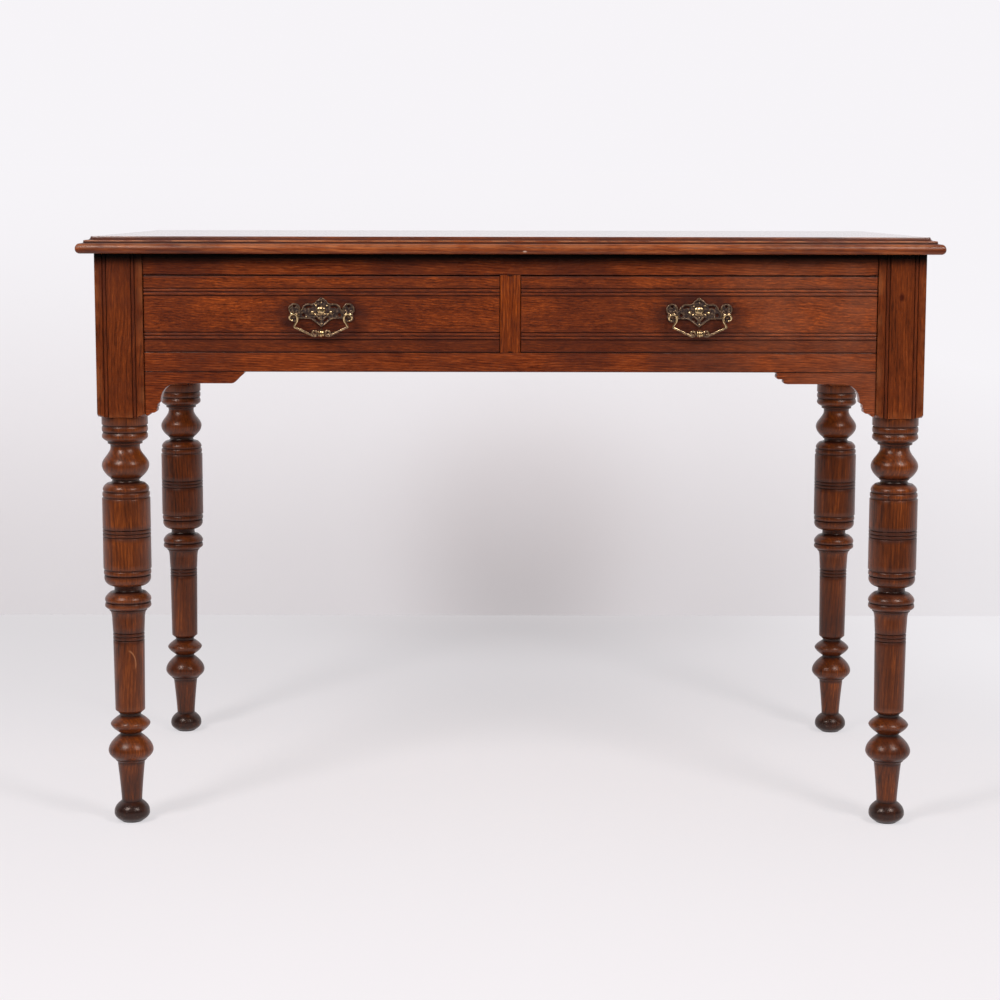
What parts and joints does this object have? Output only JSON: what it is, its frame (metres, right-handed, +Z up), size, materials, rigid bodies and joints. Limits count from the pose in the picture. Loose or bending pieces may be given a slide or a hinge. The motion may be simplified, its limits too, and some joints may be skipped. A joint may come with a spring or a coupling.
{
  "type": "writing desk",
  "caption": "Oak writing desk with drawers side by side under a moulded top, on turned legs, with brass drop handles.",
  "frame": {"origin": "on the floor under the middle of the desk", "axes": "+X to the right as seen from the front, +Y to the back, +Z up; the drawers open towards -Y"},
  "size_m": [1.067, 0.61, 0.746],
  "materials": {
    "top_oak": "polished red-brown oak",
    "turned_oak": "polished dark red-brown oak",
    "frame_oak": "polished red-brown oak",
    "drawer_front_oak": "polished red-brown oak",
    "inside_oak": "bare oak, darkened by age",
    "pine": "bare pine",
    "brass": "aged, dark in the recesses",
    "steel": "dull"
  },
  "bodies": {
    "frame": {"top_board": "top_oak", "front_left_leg": "turned_oak", "front_right_leg": "turned_oak", "back_left_leg": "turned_oak", "back_right_leg": "turned_oak", "front_top_rail": "frame_oak", "front_bottom_rail": "frame_oak", "centre_muntin": "frame_oak", "left_side_apron": "frame_oak", "right_side_apron": "frame_oak", "back_apron": "frame_oak", "left_bracket": "frame_oak", "right_bracket": "frame_oak", "left_runner": "inside_oak", "right_runner": "inside_oak", "centre_runner": "inside_oak", "left_guide": "inside_oak", "right_guide": "inside_oak", "centre_guide": "inside_oak", "left_kicker": "inside_oak", "right_kicker": "inside_oak", "centre_kicker": "inside_oak", "drawer_stops": "pine", "top_screws": "steel", "glue_blocks": "pine"},
    "left_drawer": {"left_drawer_front": "drawer_front_oak", "left_drawer_left_side": "inside_oak", "left_drawer_right_side": "inside_oak", "left_drawer_back": "inside_oak", "left_drawer_bottom": "pine", "left_drawer_slips": "pine", "left_drawer_screws": "steel", "left_backplate": "brass", "left_posts": "brass", "left_nuts": "brass"},
    "left_bail": {"left_bail": "brass"},
    "right_drawer": {"right_drawer_front": "drawer_front_oak", "right_drawer_left_side": "inside_oak", "right_drawer_right_side": "inside_oak", "right_drawer_back": "inside_oak", "right_drawer_bottom": "pine", "right_drawer_slips": "pine", "right_drawer_screws": "steel", "right_backplate": "brass", "right_posts": "brass", "right_nuts": "brass"},
    "right_bail": {"right_bail": "brass"}
  },
  "joints": [
    {"name": "left_drawer_slide", "type": "slide", "parent": "frame", "child": "left_drawer", "axis": [0, -1, 0], "range_m": [0, 0.35]},
    {"name": "left_bail_hinge", "type": "hinge", "parent": "left_drawer", "child": "left_bail", "pos_m": [-0.2335, -0.294, 0.6485], "axis": [-1, 0, 0], "range_deg": [-10, 112]},
    {"name": "right_drawer_slide", "type": "slide", "parent": "frame", "child": "right_drawer", "axis": [0, -1, 0], "range_m": [0, 0.35]},
    {"name": "right_bail_hinge", "type": "hinge", "parent": "right_drawer", "child": "right_bail", "pos_m": [0.2335, -0.294, 0.6485], "axis": [-1, 0, 0], "range_deg": [-10, 112]}
  ]
}
